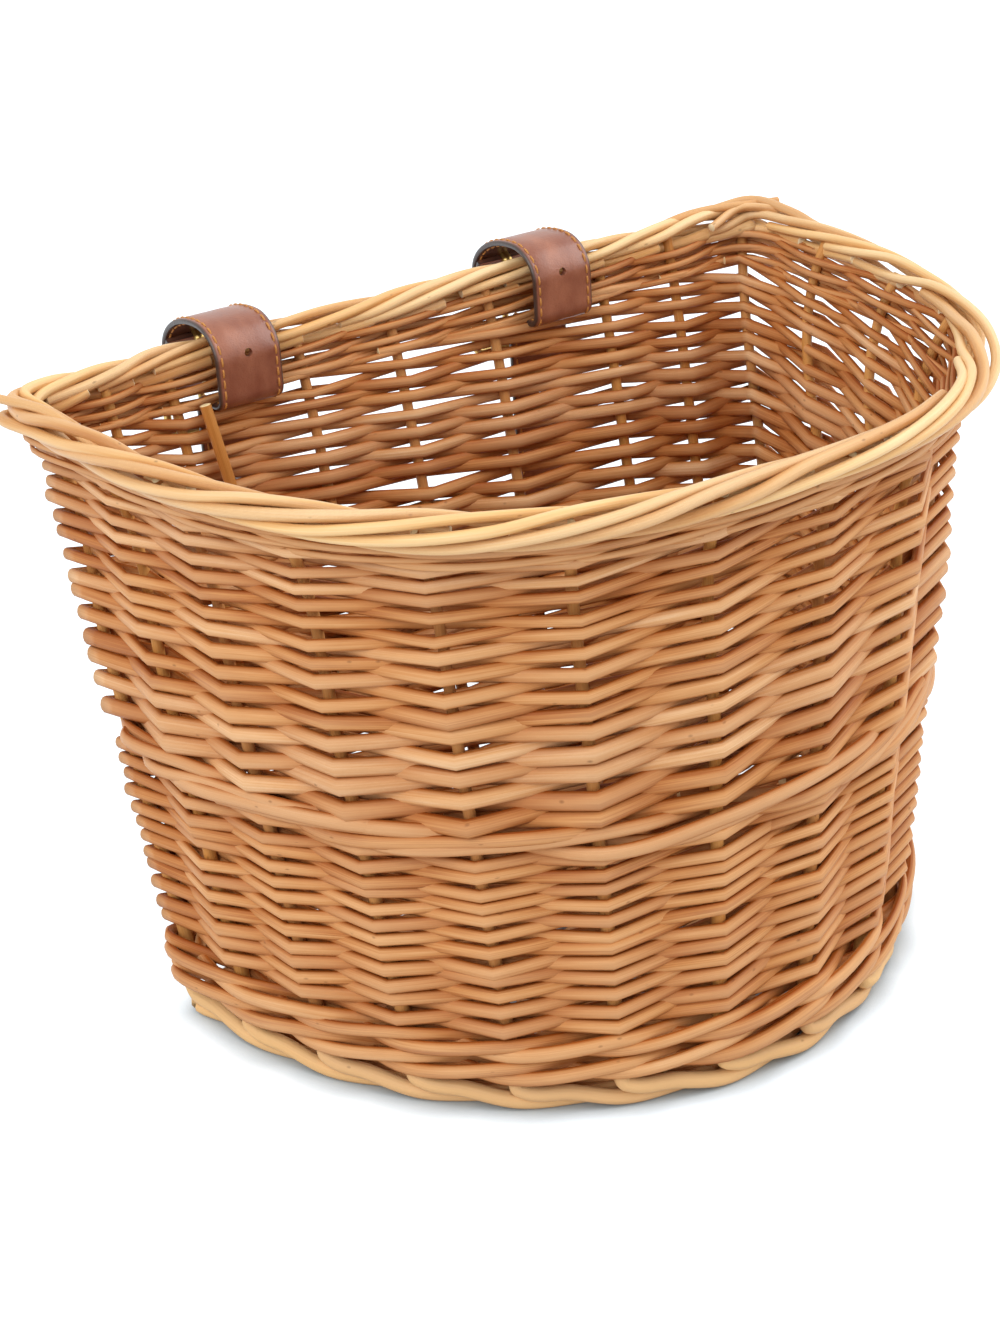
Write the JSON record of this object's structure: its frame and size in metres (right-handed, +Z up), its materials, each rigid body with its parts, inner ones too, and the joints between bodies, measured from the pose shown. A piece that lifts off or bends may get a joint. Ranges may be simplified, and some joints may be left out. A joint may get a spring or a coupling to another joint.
{
  "type": "bicycle basket",
  "caption": "D-shaped bicycle basket woven from willow, with leather buckle straps over its flat back rim.",
  "frame": {"origin": "middle of the footprint of the whole basket, on the surface that it stands on", "axes": "+X to the right along the flat back wall, -Y towards the bowed front, +Z up"},
  "size_m": [0.367, 0.287, 0.2618],
  "materials": {
    "willow_stake": "satin",
    "willow_weave": "satin",
    "willow_border": "satin",
    "leather": "satin",
    "brass": "polished"
  },
  "bodies": {
    "basket": {"stake_01": "willow_stake", "stake_02": "willow_stake", "stake_03": "willow_stake", "stake_04": "willow_stake", "stake_05": "willow_stake", "stake_06": "willow_stake", "stake_07": "willow_stake", "stake_08": "willow_stake", "stake_09": "willow_stake", "stake_10": "willow_stake", "stake_11": "willow_stake", "stake_12": "willow_stake", "stake_13": "willow_stake", "stake_14": "willow_stake", "stake_15": "willow_stake", "stake_16": "willow_stake", "stake_17": "willow_stake", "stake_18": "willow_stake", "stake_19": "willow_stake", "stake_20": "willow_stake", "stake_21": "willow_stake", "base_stick_1": "willow_stake", "base_stick_2": "willow_stake", "base_stick_3": "willow_stake", "base_stick_4": "willow_stake", "base_stick_5": "willow_stake", "base_stick_6": "willow_stake", "base_stick_7": "willow_stake", "lower_weaver": "willow_weave", "upper_weaver": "willow_weave", "upsett_wale_1": "willow_weave", "upsett_wale_2": "willow_weave", "upsett_wale_3": "willow_weave", "middle_wale_1": "willow_weave", "middle_wale_2": "willow_weave", "middle_wale_3": "willow_weave", "top_wale_1": "willow_weave", "top_wale_2": "willow_weave", "top_wale_3": "willow_weave", "base_weaver": "willow_weave", "border_rod_1": "willow_border", "border_rod_2": "willow_border", "border_rod_3": "willow_border", "border_rod_4": "willow_border", "strap_left": "leather", "rivet_left": "brass", "strap_right": "leather", "rivet_right": "brass"},
    "frame_left": {"buckle_frame_left": "brass"},
    "prong_left": {"buckle_prong_left": "brass"},
    "frame_right": {"buckle_frame_right": "brass"},
    "prong_right": {"buckle_prong_right": "brass"}
  },
  "joints": [
    {"name": "frame_swing_left", "type": "hinge", "parent": "basket", "child": "frame_left", "pos_m": [-0.08229, 0.13848, 0.23], "axis": [1, 0, 0], "range_deg": [-50, 80]},
    {"name": "prong_swing_left", "type": "hinge", "parent": "frame_left", "child": "prong_left", "pos_m": [-0.08229, 0.13848, 0.23], "axis": [1, 0, 0], "range_deg": [0, 55]},
    {"name": "frame_swing_right", "type": "hinge", "parent": "basket", "child": "frame_right", "pos_m": [0.06371, 0.13848, 0.23], "axis": [1, 0, 0], "range_deg": [-50, 80]},
    {"name": "prong_swing_right", "type": "hinge", "parent": "frame_right", "child": "prong_right", "pos_m": [0.06371, 0.13848, 0.23], "axis": [1, 0, 0], "range_deg": [0, 55]}
  ]
}
